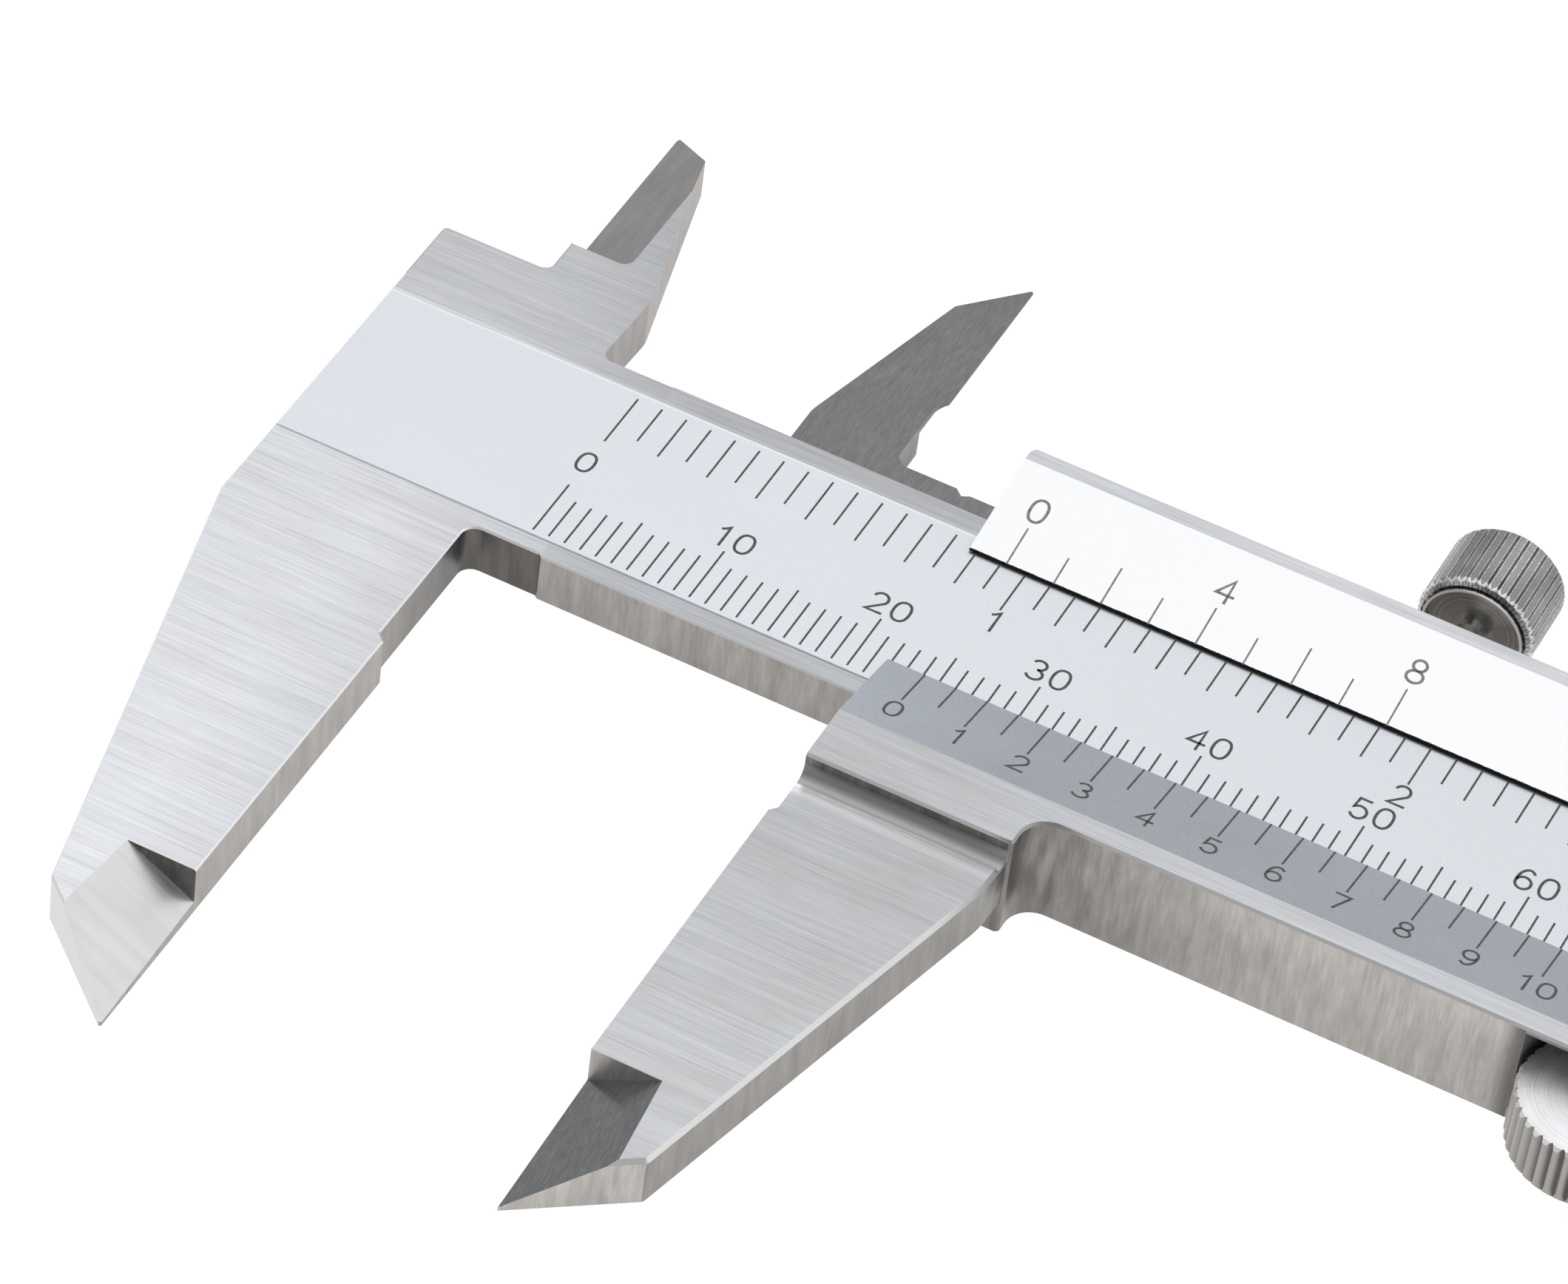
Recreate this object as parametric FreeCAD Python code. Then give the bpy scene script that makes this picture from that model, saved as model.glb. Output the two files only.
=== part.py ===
"""Vernier caliper, 150 mm / 6 in, monoblock slider with a thumb roller.

All outlines are drawn in the scale frame: X along the beam with 0 at the scale's zero
line, Y towards the inside jaws with 0 at the foot of the millimetre lines, Z out of the
scale face.  Every solid is moved to the part's own frame when it is written: origin at
the centre of the overall box, on the plane that the slider's back rests on.
"""
import FreeCAD, Part
import math
import os

V = FreeCAD.Vector

# ---------------------------------------------------------------- driving dimensions, mm
OPENING = 24.15                # reading at rest: gap between the outside jaws

RAIL_Z = 0.13                  # raised rails beside the recessed scale face (z = 0)
BEAM_BACK_Z = -3.16
BEAM_BOTTOM_Y, BEAM_TOP_Y = -1.85, 14.87
BEAM_END_X = 213.5
HEAD_X, HEAD_TOP_Y = -16.52, 19.73
UNDERCUT = 0.18                # relief of both beam edges beside the jaws
UNDERCUT_END_X = 1.3
SCALE_LOW_Y, SCALE_HIGH_Y, SCALE_FLANK = -0.60, 13.20, 0.30

FIXED_FACE_X = -2.74           # outside measuring face of the fixed jaw
MOVING_FACE_X = FIXED_FACE_X + OPENING
JAW_TIP_Y = -43.2
JAW_FACE_TOP_Y = -12.5         # the measuring faces end here, the relief is above
JAW_RELIEF = 0.51
THIN_TIP_Y = -33.25            # below this both jaws are bevelled to a thin edge
THIN_TIP_RISE = 4.27           # the bevels meet the front face this far from the faces
THIN_TIP_Z = -2.33             # front of the thin edge at its upper end
THIN_TIP_END_Z = -2.90         # and at the jaw's tip
INSIDE_EDGE_X = -9.88          # knife edge of the fixed inside jaw
INSIDE_TIP_Y = 37.50
EDGE_BREAK = 0.10              # chamfer of the beam's front edges
JAW_BREAK = 0.25               # chamfer of the moving jaw's outer edge
STEP_X, STEP_Y = -9.55, 22.48  # shoulder of the head under the fixed inside jaw

CLEAR = 0.05                   # sliding clearance
SLIDER_X0, SLIDER_X1 = 21.80, 79.50
SLIDER_BACK_Z = -5.45
SLIDER_BOTTOM_Y, SLIDER_TOP_Y = -6.40, 20.20
LIP_Z = 1.70                   # front of the slider
LIP_BREAK = 0.15               # chamfer of its outer edges
VERNIER_EDGE_Z = 0.22          # top of the thin vernier edges
VERNIER_UNDER_Z = 0.06         # their underside, just over the scale face
VERNIER_LOW_Y, VERNIER_LOW_FOOT_Y = 1.49, -4.92
VERNIER_HIGH_Y, VERNIER_HIGH_FOOT_Y = 12.04, 19.00
BRIDGE_X, BRIDGE_Z = 70.5, 1.10
NECK_X, NECK_Y = 34.50, -9.00
COVE_R = 0.85
GIB_THICK = 1.20
LOCK_X, LOCK_Z = 48.70, -1.50
LOCK_R, LOCK_KNOB_Y0, LOCK_KNOB_Y1 = 3.60, 23.15, 28.75
LOCK_STUD_R, LOCK_SPIGOT_R = 1.00, 0.50
GIB_SCREW_X = {"front": 29.0, "rear": 68.0}
GIB_SCREW_R = 1.0

GROOVE_Y0, GROOVE_Y1, GROOVE_Z = 4.70, 8.30, -1.55
BAR_SIDE_CLEAR, BAR_TANG_X0, BAR_TANG_X1 = 0.15, 64.0, 78.9
BAR_FRONT_Z, BAR_BACK_Z = -1.62, -3.12
BAR_SCREW_X = {"front": 67.5, "rear": 75.5}

ROLLER_R, ROLLER_X = 4.77, 69.08
ROLLER_Z0, ROLLER_Z1 = -4.50, -0.70
ROLLER_GAP = 0.22              # round the roller in its pocket
ROLLER_ROOF_Z = 0.70           # roof of the pocket under the vernier's bevel
ROLLER_MOUTH_Z, ROLLER_MOUTH_Y = 1.35, -4.70
ROLLER_Y = BEAM_BOTTOM_Y - ROLLER_R - 0.03
AXLE_R, AXLE_HEAD_R = 1.25, 1.70
BRACKET_Z = -4.62              # front face of the bracket that carries the roller
BRACKET_X0, BRACKET_X1 = 62.0, 77.5
BRACKET_Y0, BRACKET_Y1 = -5.10, -2.30
BRACKET_SCREW_X = {"front": 64.2, "rear": 75.2}
BRACKET_SCREW_Y = -3.70

STOP_X0, STOP_X1, STOP_Z = 206.5, 212.8, -4.40
STOP_SCREW_Y = {"lower": 3.00, "upper": 10.00}

GAP_Z_BACK = BEAM_BACK_Z - 0.04    # inner face of the slider's back plate
FLANGE_Z = RAIL_Z + CLEAR          # underside of the slider's front flanges
CHANNEL_Y0 = BEAM_BOTTOM_Y - CLEAR
GIB_Y0 = BEAM_TOP_Y + CLEAR
CHANNEL_Y1 = GIB_Y0 + GIB_THICK + 0.03
BAR_TIP_X = BEAM_END_X + OPENING   # flush with the beam's end when the jaws are closed


# ---------------------------------------------------------------- drawing helpers
def rounded_wire(corners, place):
    """Closed wire through (u, v, radius) corners; place turns (u, v) into a point."""
    ends = []
    count = len(corners)
    for i, (u, v, radius) in enumerate(corners):
        here = V(u, v, 0)
        before = V(*corners[i - 1][:2], 0) - here
        after = V(*corners[(i + 1) % count][:2], 0) - here
        before.normalize()
        after.normalize()
        if radius == 0:
            ends.append((here, None, here))
            continue
        half = before.getAngle(after) / 2
        reach = radius / math.tan(half)
        middle = before + after
        middle.normalize()
        ends.append((here + before * reach,
                     here + middle * (radius / math.sin(half) - radius),
                     here + after * reach))
    edges = []
    for i, (start, top, stop) in enumerate(ends):
        if top is not None:
            edges.append(Part.Arc(place(start), place(top), place(stop)).toShape())
        following = ends[(i + 1) % count][0]
        if (following - stop).Length > 1e-6:
            edges.append(Part.LineSegment(place(stop), place(following)).toShape())
    return Part.Wire(edges)


def plate(corners, z0, z1):
    """Prism of an XY outline from z0 to z1."""
    wire = rounded_wire(corners, lambda p: V(p.x, p.y, z0))
    return Part.Face(wire).extrude(V(0, 0, z1 - z0))


def along_x(section, x0, x1):
    """Prism of a (y, z) outline from x0 to x1."""
    wire = rounded_wire([(y, z, 0) for y, z in section], lambda p: V(x0, p.x, p.y))
    return Part.Face(wire).extrude(V(x1 - x0, 0, 0))


def along_y(section, y0, y1):
    """Prism of an (x, z) outline from y0 to y1."""
    wire = rounded_wire([(x, z, 0) for x, z in section], lambda p: V(p.x, y0, p.y))
    return Part.Face(wire).extrude(V(0, y1 - y0, 0))


def box(x0, x1, y0, y1, z0, z1):
    return Part.makeBox(x1 - x0, y1 - y0, z1 - z0, V(x0, y0, z0))


def rod_z(x, y, radius, z0, z1):
    return Part.makeCylinder(radius, z1 - z0, V(x, y, z0))


def rod_y(x, z, radius, y0, y1):
    return Part.makeCylinder(radius, y1 - y0, V(x, y0, z), V(0, 1, 0))


def turned(profile, base, axis):
    """Solid of revolution of (radius, height) points about an axis through base."""
    wire = Part.makePolygon([V(r, 0, h) for r, h in profile + profile[:1]])
    solid = Part.Face(wire).revolve(V(0, 0, 0), V(0, 0, 1), 360)
    solid.Placement = FreeCAD.Placement(base, FreeCAD.Rotation(V(0, 0, 1), axis))
    return solid


def knurled(radius, depth, teeth, land, height):
    """Straight-knurled cylinder about Z with V grooves between flat-topped ridges."""
    pitch = 2 * math.pi / teeth
    points = []
    for i in range(teeth):
        for r, step in ((radius, -land / 2), (radius, land / 2), (radius - depth, 0.5)):
            angle = (i + step) * pitch
            points.append(V(r * math.cos(angle), r * math.sin(angle), 0))
    return Part.Face(Part.makePolygon(points + points[:1])).extrude(V(0, 0, height))


def flat_head_screw(x, y, face_z, tip_z, head_r, shank_r, slot_angle):
    """Slotted countersunk screw whose head lies flush with a back face at face_z."""
    head = head_r - shank_r
    screw = turned([(0, 0), (head_r, 0), (head_r, 0.12), (shank_r, 0.12 + head),
                    (shank_r, tip_z - face_z), (0, tip_z - face_z)], V(x, y, face_z), V(0, 0, 1))
    slot = Part.makeBox(3 * head_r, 0.32, 0.35, V(-1.5 * head_r, -0.16, -0.01))
    slot.rotate(V(0, 0, 0), V(0, 0, 1), slot_angle)
    slot.translate(V(x, y, face_z))
    return screw.cut(slot)


def flat_head_hole(x, y, face_z, end_z, head_r, shank_r):
    """Countersunk clearance hole for flat_head_screw."""
    gap = 0.03
    head = head_r - shank_r
    return turned([(0, -0.1), (head_r + gap, -0.1), (head_r + gap, 0.12),
                   (shank_r + gap, 0.12 + head), (shank_r + gap, end_z - face_z),
                   (0, end_z - face_z)], V(x, y, face_z), V(0, 0, 1))


def break_edges(solid, z, size, wanted):
    """Chamfers the edges in the plane at z whose middle is wanted."""
    edges = [edge for edge in solid.Edges
             if edge.BoundBox.ZMin > z - 1e-4 and edge.BoundBox.ZMax < z + 1e-4
             and wanted(edge.CenterOfMass)]
    return solid.makeChamfer(size, edges)


def above(a, b, c, y1):
    """Block over the plane through three points, as far as y1: it cuts a sloping bevel."""
    out = (b - a).cross(c - a)
    out.multiply(math.copysign(1 / out.Length, out.z))
    block = Part.makeBox(60, 60, 12, V(-30, -30, 0))
    block.Placement = FreeCAD.Placement(a, FreeCAD.Rotation(V(0, 0, 1), out))
    return block.common(box(a.x - 20, a.x + 20, y1 - 25, y1, -10, 10))


def tip_bevel(face_x, side):
    """Bevel of an outside jaw's tip; side is the way from the measuring face into the jaw."""
    return above(V(face_x + side * THIN_TIP_RISE, THIN_TIP_Y, RAIL_Z),
                 V(face_x, THIN_TIP_Y, THIN_TIP_Z), V(face_x, JAW_TIP_Y, THIN_TIP_END_Z), THIN_TIP_Y)


# ---------------------------------------------------------------- beam
def main_beam():
    """Beam, head and both fixed jaws in one piece."""
    low, high = BEAM_BOTTOM_Y + UNDERCUT, BEAM_TOP_Y - UNDERCUT
    relief_x = FIXED_FACE_X - JAW_RELIEF
    beam = plate([
        (HEAD_X, HEAD_TOP_Y, 0.3), (HEAD_X, -6.65, 0.8), (-9.14, -37.70, 0.5),
        (FIXED_FACE_X, JAW_TIP_Y, 0.12), (FIXED_FACE_X, JAW_FACE_TOP_Y, 0.15),
        (relief_x, JAW_FACE_TOP_Y + JAW_RELIEF, 0.2), (relief_x, low, 0.9),
        (UNDERCUT_END_X, low, 0), (UNDERCUT_END_X + 0.2, BEAM_BOTTOM_Y, 0),
        (BEAM_END_X, BEAM_BOTTOM_Y, 0.6), (BEAM_END_X, BEAM_TOP_Y, 0.6),
        (UNDERCUT_END_X + 0.2, BEAM_TOP_Y, 0), (UNDERCUT_END_X, high, 0),
        (-3.42, high, 0.6), (-3.20, 20.40, 2.5), (-6.50, 34.00, 0.4),
        (INSIDE_EDGE_X, INSIDE_TIP_Y, 0.12), (INSIDE_EDGE_X, STEP_Y + 0.1, 0),
        (STEP_X, STEP_Y, 0), (STEP_X, HEAD_TOP_Y, 0.65)], BEAM_BACK_Z, RAIL_Z)
    beam = break_edges(beam, RAIL_Z, EDGE_BREAK,
                       lambda at: at.x > UNDERCUT_END_X + 0.3 or at.x < STEP_X and at.y < STEP_Y - 1)

    recess = along_x([(SCALE_LOW_Y, RAIL_Z + 0.01), (SCALE_LOW_Y + SCALE_FLANK, 0),
                      (SCALE_HIGH_Y, 0), (SCALE_HIGH_Y + SCALE_FLANK, RAIL_Z + 0.01)],
                     HEAD_X - 1, BEAM_END_X + 1)
    groove = box(HEAD_X + 7.0, BEAM_END_X + 1, GROOVE_Y0, GROOVE_Y1, BEAM_BACK_Z - 1, GROOVE_Z)
    knife_land_z = BEAM_BACK_Z + 0.30
    inside_bevel = along_y([(-5.68, RAIL_Z), (INSIDE_EDGE_X, knife_land_z),
                            (INSIDE_EDGE_X - 1, knife_land_z), (INSIDE_EDGE_X - 1, 1), (-5.68, 1)],
                           STEP_Y, INSIDE_TIP_Y + 1)
    inside_bevel = inside_bevel.common(plate([
        (-5.68, STEP_Y, 0.75), (-5.68, INSIDE_TIP_Y + 1, 0),
        (INSIDE_EDGE_X - 1, INSIDE_TIP_Y + 1, 0), (INSIDE_EDGE_X - 1, STEP_Y, 0)], BEAM_BACK_Z, 1))
    beam = beam.cut([recess, groove, tip_bevel(FIXED_FACE_X, -1), inside_bevel])
    screw_x = (STOP_X0 + STOP_X1) / 2
    holes = [rod_z(screw_x, y, 0.83, BEAM_BACK_Z - 1, -1.3) for y in STOP_SCREW_Y.values()]
    return beam.cut(holes)


def end_stop():
    """Plate across the groove at the beam's end, and its two screws."""
    screw_x = (STOP_X0 + STOP_X1) / 2
    stop = plate([(STOP_X0, 0.9, 0.6), (STOP_X1, 0.9, 0.6),
                  (STOP_X1, 12.1, 0.6), (STOP_X0, 12.1, 0.6)], STOP_Z, BEAM_BACK_Z)
    solids = {}
    for side, y in STOP_SCREW_Y.items():
        stop = stop.cut(flat_head_hole(screw_x, y, STOP_Z, BEAM_BACK_Z + 0.1, 1.35, 0.8))
        solids["end_stop_screw_" + side] = flat_head_screw(
            screw_x, y, STOP_Z, -1.4, 1.35, 0.8, 25 + 10 * y)
    solids["end_stop_plate"] = stop
    return solids


# ---------------------------------------------------------------- slider
def slider_channel():
    """C-shaped section that wraps the beam, with both vernier bevels, and its rear bridge."""
    section = [(SLIDER_BOTTOM_Y, SLIDER_BACK_Z), (SLIDER_TOP_Y, SLIDER_BACK_Z),
               (SLIDER_TOP_Y, LIP_Z), (VERNIER_HIGH_FOOT_Y, LIP_Z),
               (VERNIER_HIGH_Y, VERNIER_EDGE_Z), (VERNIER_HIGH_Y, VERNIER_UNDER_Z),
               (SCALE_HIGH_Y - 0.1, VERNIER_UNDER_Z), (SCALE_HIGH_Y - 0.1, FLANGE_Z),
               (CHANNEL_Y1, FLANGE_Z), (CHANNEL_Y1, GAP_Z_BACK),
               (CHANNEL_Y0, GAP_Z_BACK), (CHANNEL_Y0, FLANGE_Z),
               (SCALE_LOW_Y + SCALE_FLANK + 0.1, FLANGE_Z),
               (SCALE_LOW_Y + SCALE_FLANK + 0.1, VERNIER_UNDER_Z),
               (VERNIER_LOW_Y, VERNIER_UNDER_Z), (VERNIER_LOW_Y, VERNIER_EDGE_Z),
               (VERNIER_LOW_FOOT_Y, LIP_Z), (SLIDER_BOTTOM_Y, LIP_Z)]
    channel = break_edges(along_x(section, SLIDER_X0, SLIDER_X1), LIP_Z, LIP_BREAK,
                          lambda at: at.y < SLIDER_BOTTOM_Y + 0.01 or at.y > SLIDER_TOP_Y - 0.01)
    limits = plate([(SLIDER_X0, SLIDER_BOTTOM_Y, 0), (SLIDER_X1, SLIDER_BOTTOM_Y, 1.5),
                    (SLIDER_X1, SLIDER_TOP_Y, 1.5), (SLIDER_X0, SLIDER_TOP_Y, 0.7)],
                   SLIDER_BACK_Z, LIP_Z)
    bridge = plate([(BRIDGE_X, VERNIER_LOW_Y - 1.5, 0), (SLIDER_X1, VERNIER_LOW_Y - 1.5, 0),
                    (SLIDER_X1, VERNIER_HIGH_Y + 1.5, 0), (BRIDGE_X, VERNIER_HIGH_Y + 1.5, 0)],
                   FLANGE_Z, BRIDGE_Z)
    return channel.common(limits).fuse(bridge)


def moving_outside_jaw():
    """Neck block below the slider and the long jaw with its thin tip."""
    neck = plate([(SLIDER_X0, NECK_Y, 0), (NECK_X, NECK_Y, 0.3), (NECK_X, SLIDER_BOTTOM_Y, 1.7),
                  (NECK_X + 3, SLIDER_BOTTOM_Y, 0), (NECK_X + 3, SLIDER_BOTTOM_Y + 1.4, 0),
                  (SLIDER_X0, SLIDER_BOTTOM_Y + 1.4, 0)], SLIDER_BACK_Z, LIP_Z)
    neck = break_edges(neck, LIP_Z, LIP_BREAK,
                       lambda at: at.x > SLIDER_X0 + 1 and at.y < SLIDER_BOTTOM_Y + 0.1)
    relief_x = MOVING_FACE_X + JAW_RELIEF - 0.12
    jaw_outline = [
        (relief_x, NECK_Y + 1, 0), (relief_x, JAW_FACE_TOP_Y + 0.45, 0.2),
        (MOVING_FACE_X, JAW_FACE_TOP_Y, 0.1), (MOVING_FACE_X, JAW_TIP_Y, 0),
        (27.65, -38.60, 0.4), (34.15, -11.50, 6.0), (34.35, NECK_Y + 1, 0)]
    jaw = break_edges(plate(jaw_outline, BEAM_BACK_Z, RAIL_Z), RAIL_Z, JAW_BREAK,
                      lambda at: at.x > MOVING_FACE_X + 1 and at.y < NECK_Y)
    cove = plate(jaw_outline, RAIL_Z, RAIL_Z + COVE_R).common(
        box(relief_x, NECK_X, NECK_Y - COVE_R, NECK_Y + 1, RAIL_Z, RAIL_Z + COVE_R))
    hollow = Part.makeCylinder(COVE_R, 20, V(SLIDER_X0 - 2, NECK_Y - COVE_R, RAIL_Z + COVE_R), V(1, 0, 0))
    return neck.fuse([jaw, cove.cut(hollow)]).cut(tip_bevel(MOVING_FACE_X, 1))


def moving_inside_jaw():
    """Blade behind the beam's back plane, ground to a knife edge from behind."""
    blade_edge_x = INSIDE_EDGE_X + OPENING
    blade = plate([
        (7.65, 9.00, 1.0), (7.65, 20.87, 2.5), (10.82, 33.60, 0.4),
        (blade_edge_x, INSIDE_TIP_Y, 0.12), (blade_edge_x, 25.75, 0.05),
        (13.70, 25.45, 0.9), (13.70, 20.05, 0.45), (14.35, 19.50, 0), (17.80, 19.50, 0),
        (18.30, 19.05, 0), (18.75, 19.32, 0), (SLIDER_X0 + 1, 19.32, 0),
        (SLIDER_X0 + 1, 1.50, 0), (SLIDER_X0, 1.50, 2.5)],
        SLIDER_BACK_Z, GAP_Z_BACK)
    bevel = along_y([(blade_edge_x, GAP_Z_BACK - 0.12), (blade_edge_x + 1, GAP_Z_BACK - 0.12),
                     (blade_edge_x + 1, SLIDER_BACK_Z - 1), (10.6, SLIDER_BACK_Z - 1),
                     (10.6, SLIDER_BACK_Z)], 23.00, INSIDE_TIP_Y + 1)
    return blade.cut(bevel)


def bracket_outline(gap):
    """Outline of the roller bracket, or of its recess when gap is a clearance."""
    tab = 2.6 + gap
    return [(BRACKET_X0 - gap, BRACKET_Y0 - gap, 0.2), (ROLLER_X - tab, BRACKET_Y0 - gap, 0),
            (ROLLER_X - tab, ROLLER_Y - tab, 2.0), (ROLLER_X + tab, ROLLER_Y - tab, 2.0),
            (ROLLER_X + tab, BRACKET_Y0 - gap, 0), (BRACKET_X1 + gap, BRACKET_Y0 - gap, 0.2),
            (BRACKET_X1 + gap, BRACKET_Y1 + gap, 0.6), (BRACKET_X0 - gap, BRACKET_Y1 + gap, 0.6)]


def slider_body():
    """Slider, both moving jaws and all its bores and pockets."""
    body = slider_channel().fuse([moving_outside_jaw(), moving_inside_jaw()])
    mouth = rod_z(ROLLER_X, ROLLER_Y, ROLLER_R + ROLLER_GAP, 0, ROLLER_MOUTH_Z)
    pockets = [rod_y(LOCK_X, LOCK_Z, LOCK_STUD_R + 0.03, CHANNEL_Y1 - 0.1, SLIDER_TOP_Y + 1),
               rod_z(ROLLER_X, ROLLER_Y, ROLLER_R + ROLLER_GAP, BRACKET_Z, ROLLER_ROOF_Z),
               mouth.common(box(0, SLIDER_X1, -20, ROLLER_MOUTH_Y, 0, LIP_Z)),
               plate(bracket_outline(0.05), SLIDER_BACK_Z - 0.1, BRACKET_Z),
               box(62.1, 66.6, BRACKET_Y0 - 0.8, BRACKET_Y0 + 0.1, SLIDER_BACK_Z - 0.1, BRACKET_Z)]
    for x in GIB_SCREW_X.values():
        pockets.append(rod_y(x, LOCK_Z, GIB_SCREW_R + 0.03, CHANNEL_Y1 - 0.1, SLIDER_TOP_Y + 1))
    for x in BAR_SCREW_X.values():
        pockets.append(flat_head_hole(x, (GROOVE_Y0 + GROOVE_Y1) / 2, SLIDER_BACK_Z,
                                      GAP_Z_BACK + 0.1, 1.35, 0.8))
    for x in BRACKET_SCREW_X.values():
        pockets.append(rod_z(x, BRACKET_SCREW_Y, 0.63, BRACKET_Z - 0.1, -1.5))
    return body.cut(pockets).removeSplitter()


def gib_strip():
    """Strip between the slider's top wall and the beam's top edge."""
    return box(SLIDER_X0 + 0.6, SLIDER_X1 - 0.6, GIB_Y0, GIB_Y0 + GIB_THICK, -3.10, RAIL_Z)


def gib_set_screws():
    """Two slotted grub screws that set the gib's pressure."""
    solids = {}
    y0, y1 = GIB_Y0 + GIB_THICK + 0.02, SLIDER_TOP_Y - 0.35
    for place, x in GIB_SCREW_X.items():
        screw = turned([(0, 0), (0.55, 0), (GIB_SCREW_R, 0.5), (GIB_SCREW_R, y1 - y0 - 0.15),
                        (GIB_SCREW_R - 0.15, y1 - y0), (0, y1 - y0)], V(x, y0, LOCK_Z), V(0, 1, 0))
        slot = box(x - 0.18, x + 0.18, y1 - 0.6, y1 + 1, LOCK_Z - 2, LOCK_Z + 2)
        solids["gib_set_screw_" + place] = screw.cut(slot)
    return solids


def lock_screw():
    """Knurled knob with a shallow rimmed cup in its lower face, pressed on the stud's spigot."""
    height = LOCK_KNOB_Y1 - LOCK_KNOB_Y0
    rim_in, rim_out, groove_out, web = 2.98, 3.12, 3.27, 0.40
    knob = knurled(LOCK_R, 0.26, 35, 0.72, height)
    knob = knob.common(turned([(0, 0), (groove_out, 0), (groove_out, 0.25), (LOCK_R - 0.12, 0.42),
                               (LOCK_R, 0.75), (LOCK_R, height - 0.30), (LOCK_R - 0.25, height),
                               (0, height)], V(0, 0, 0), V(0, 0, 1)))
    cup = turned([(0, -1), (rim_in, -1), (rim_in, web), (0, web)], V(0, 0, 0), V(0, 0, 1))
    groove = turned([(rim_out, -1), (groove_out + 1, -1), (groove_out + 1, 0.25), (groove_out, 0.25),
                     (groove_out, 0.65), (rim_out, 0.65)], V(0, 0, 0), V(0, 0, 1))
    dimple = turned([(0, height - 0.25), (2.2, height - 0.25), (2.5, height + 0.1), (0, height + 0.1)],
                    V(0, 0, 0), V(0, 0, 1))
    knob = knob.cut([cup, groove, dimple, Part.makeCylinder(LOCK_SPIGOT_R, height)])
    knob.Placement = FreeCAD.Placement(V(LOCK_X, LOCK_KNOB_Y0, LOCK_Z),
                                       FreeCAD.Rotation(V(0, 0, 1), V(0, 1, 0)))
    foot_y = GIB_Y0 + GIB_THICK + 0.02
    shoulder_y = LOCK_KNOB_Y0 - 0.20 - foot_y
    end_y = LOCK_KNOB_Y1 - 0.25 - foot_y
    stud = turned([(0, 0), (0.6, 0), (LOCK_STUD_R, 0.4), (LOCK_STUD_R, shoulder_y - 0.12),
                   (LOCK_STUD_R - 0.12, shoulder_y), (LOCK_SPIGOT_R, shoulder_y),
                   (LOCK_SPIGOT_R, end_y), (0, end_y)], V(LOCK_X, foot_y, LOCK_Z), V(0, 1, 0))
    return {"lock_screw_knob": knob, "lock_screw_stud": stud}


# ---------------------------------------------------------------- depth bar
def depth_bar():
    """Thin bar in the beam's rear groove, with a thicker tang fixed to the slider."""
    y0, y1 = GROOVE_Y0 + BAR_SIDE_CLEAR, GROOVE_Y1 - BAR_SIDE_CLEAR
    bar = plate([(BAR_TANG_X0, y0, 0.3), (BAR_TIP_X, y0, 0.1), (BAR_TIP_X, y1 - 1.1, 0),
                 (BAR_TIP_X - 1.1, y1, 0), (BAR_TANG_X0, y1, 0.3)], BAR_BACK_Z, BAR_FRONT_Z)
    bar = bar.fuse(box(BAR_TANG_X0 + 0.5, BAR_TANG_X1, y0, y1, GAP_Z_BACK, BAR_BACK_Z))
    holes = [rod_z(x, (y0 + y1) / 2, 0.83, GAP_Z_BACK - 1, 0) for x in BAR_SCREW_X.values()]
    return bar.cut(holes).removeSplitter()


def depth_bar_screws():
    """Two screws from the slider's back into the depth bar's tang."""
    y = (GROOVE_Y0 + GROOVE_Y1) / 2
    return {"depth_bar_screw_" + place: flat_head_screw(x, y, SLIDER_BACK_Z, BAR_FRONT_Z - 0.1,
                                                        1.35, 0.8, 40 * i + 15)
            for i, (place, x) in enumerate(BAR_SCREW_X.items())}


# ---------------------------------------------------------------- thumb roller
def thumb_roller():
    """Knurled disc that rolls on the beam's lower edge."""
    height = ROLLER_Z1 - ROLLER_Z0
    roller = knurled(ROLLER_R, 0.26, 40, 0.34, height)
    roller = roller.common(turned([(0, 0), (ROLLER_R - 0.22, 0), (ROLLER_R, 0.25),
                                   (ROLLER_R, height - 0.22), (ROLLER_R - 0.16, height),
                                   (0, height)], V(0, 0, 0), V(0, 0, 1)))
    bore = Part.makeCylinder(AXLE_R + 0.04, height)
    seat = Part.makeCylinder(AXLE_HEAD_R + 0.15, 1, V(0, 0, height - 0.85))
    roller = roller.cut([bore, seat])
    roller.translate(V(ROLLER_X, ROLLER_Y, ROLLER_Z0))
    return roller


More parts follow.
